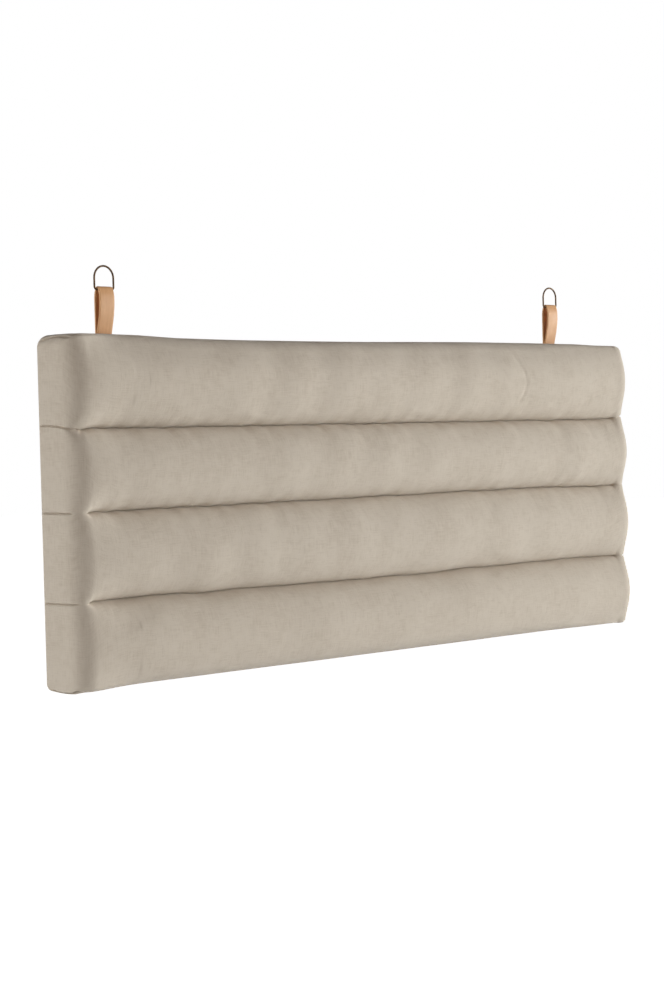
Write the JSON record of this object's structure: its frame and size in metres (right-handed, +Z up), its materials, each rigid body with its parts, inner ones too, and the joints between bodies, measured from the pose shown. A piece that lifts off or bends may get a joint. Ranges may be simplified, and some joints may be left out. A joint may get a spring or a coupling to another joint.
{
  "type": "hanging headboard",
  "caption": "Long padded headboard panel with horizontal sewn channels, hung from doubled leather straps that end in D-rings.",
  "frame": {"origin": "centre of the panel's back face, on the plane of the wall", "axes": "+X along the panel to the right as seen from the front, +Y out of its back into the wall, +Z up"},
  "size_m": [1.524, 0.112, 0.7366],
  "materials": {
    "cover_fabric": "slubby linen weave in a warm greige, matt",
    "timber": "planed softwood, unfinished",
    "plywood": "unfinished plywood",
    "foam": "open-cell upholstery foam",
    "lining": "thin black non-woven lining",
    "steel": "zinc-plated steel",
    "leather": "tan vegetable-tanned strap leather with raw cut edges",
    "bronze": "dark antique bronze wire"
  },
  "bodies": {
    "headboard": {"top_rail": "timber", "bottom_rail": "timber", "left_stile": "timber", "right_stile": "timber", "left_centre_stile": "timber", "right_centre_stile": "timber", "top_left_block": "timber", "top_right_block": "timber", "bottom_left_block": "timber", "bottom_right_block": "timber", "front_board": "plywood", "board_screws": "steel", "foam_channel_1": "foam", "foam_channel_2": "foam", "foam_channel_3": "foam", "foam_channel_4": "foam", "top_padding": "foam", "bottom_padding": "foam", "left_padding": "foam", "right_padding": "foam", "cover_channel_1": "cover_fabric", "cover_channel_2": "cover_fabric", "cover_channel_3": "cover_fabric", "cover_channel_4": "cover_fabric", "back_cloth": "lining", "back_cloth_staples": "steel", "left_strap_tail": "leather", "right_strap_tail": "leather", "strap_screws": "steel", "strap_washers": "bronze"},
    "left_strap": {"left_strap_loop": "leather"},
    "right_strap": {"right_strap_loop": "leather"},
    "left_ring": {"left_ring": "bronze"},
    "right_ring": {"right_ring": "bronze"}
  },
  "joints": [
    {"name": "left_strap_bend", "type": "hinge", "parent": "headboard", "child": "left_strap", "pos_m": [-0.613, -0.0045, 0.306], "axis": [1, 0, 0], "range_deg": [-45, 45], "stiffness_Nm_per_rad": 0.3},
    {"name": "left_ring_swing", "type": "hinge", "parent": "left_strap", "child": "left_ring", "pos_m": [-0.613, -0.0099, 0.38835], "axis": [1, 0, 0], "range_deg": [-100, 100]},
    {"name": "right_strap_bend", "type": "hinge", "parent": "headboard", "child": "right_strap", "pos_m": [0.613, -0.0045, 0.306], "axis": [1, 0, 0], "range_deg": [-45, 45], "stiffness_Nm_per_rad": 0.3},
    {"name": "right_ring_swing", "type": "hinge", "parent": "right_strap", "child": "right_ring", "pos_m": [0.613, -0.0099, 0.38835], "axis": [1, 0, 0], "range_deg": [-100, 100]}
  ]
}
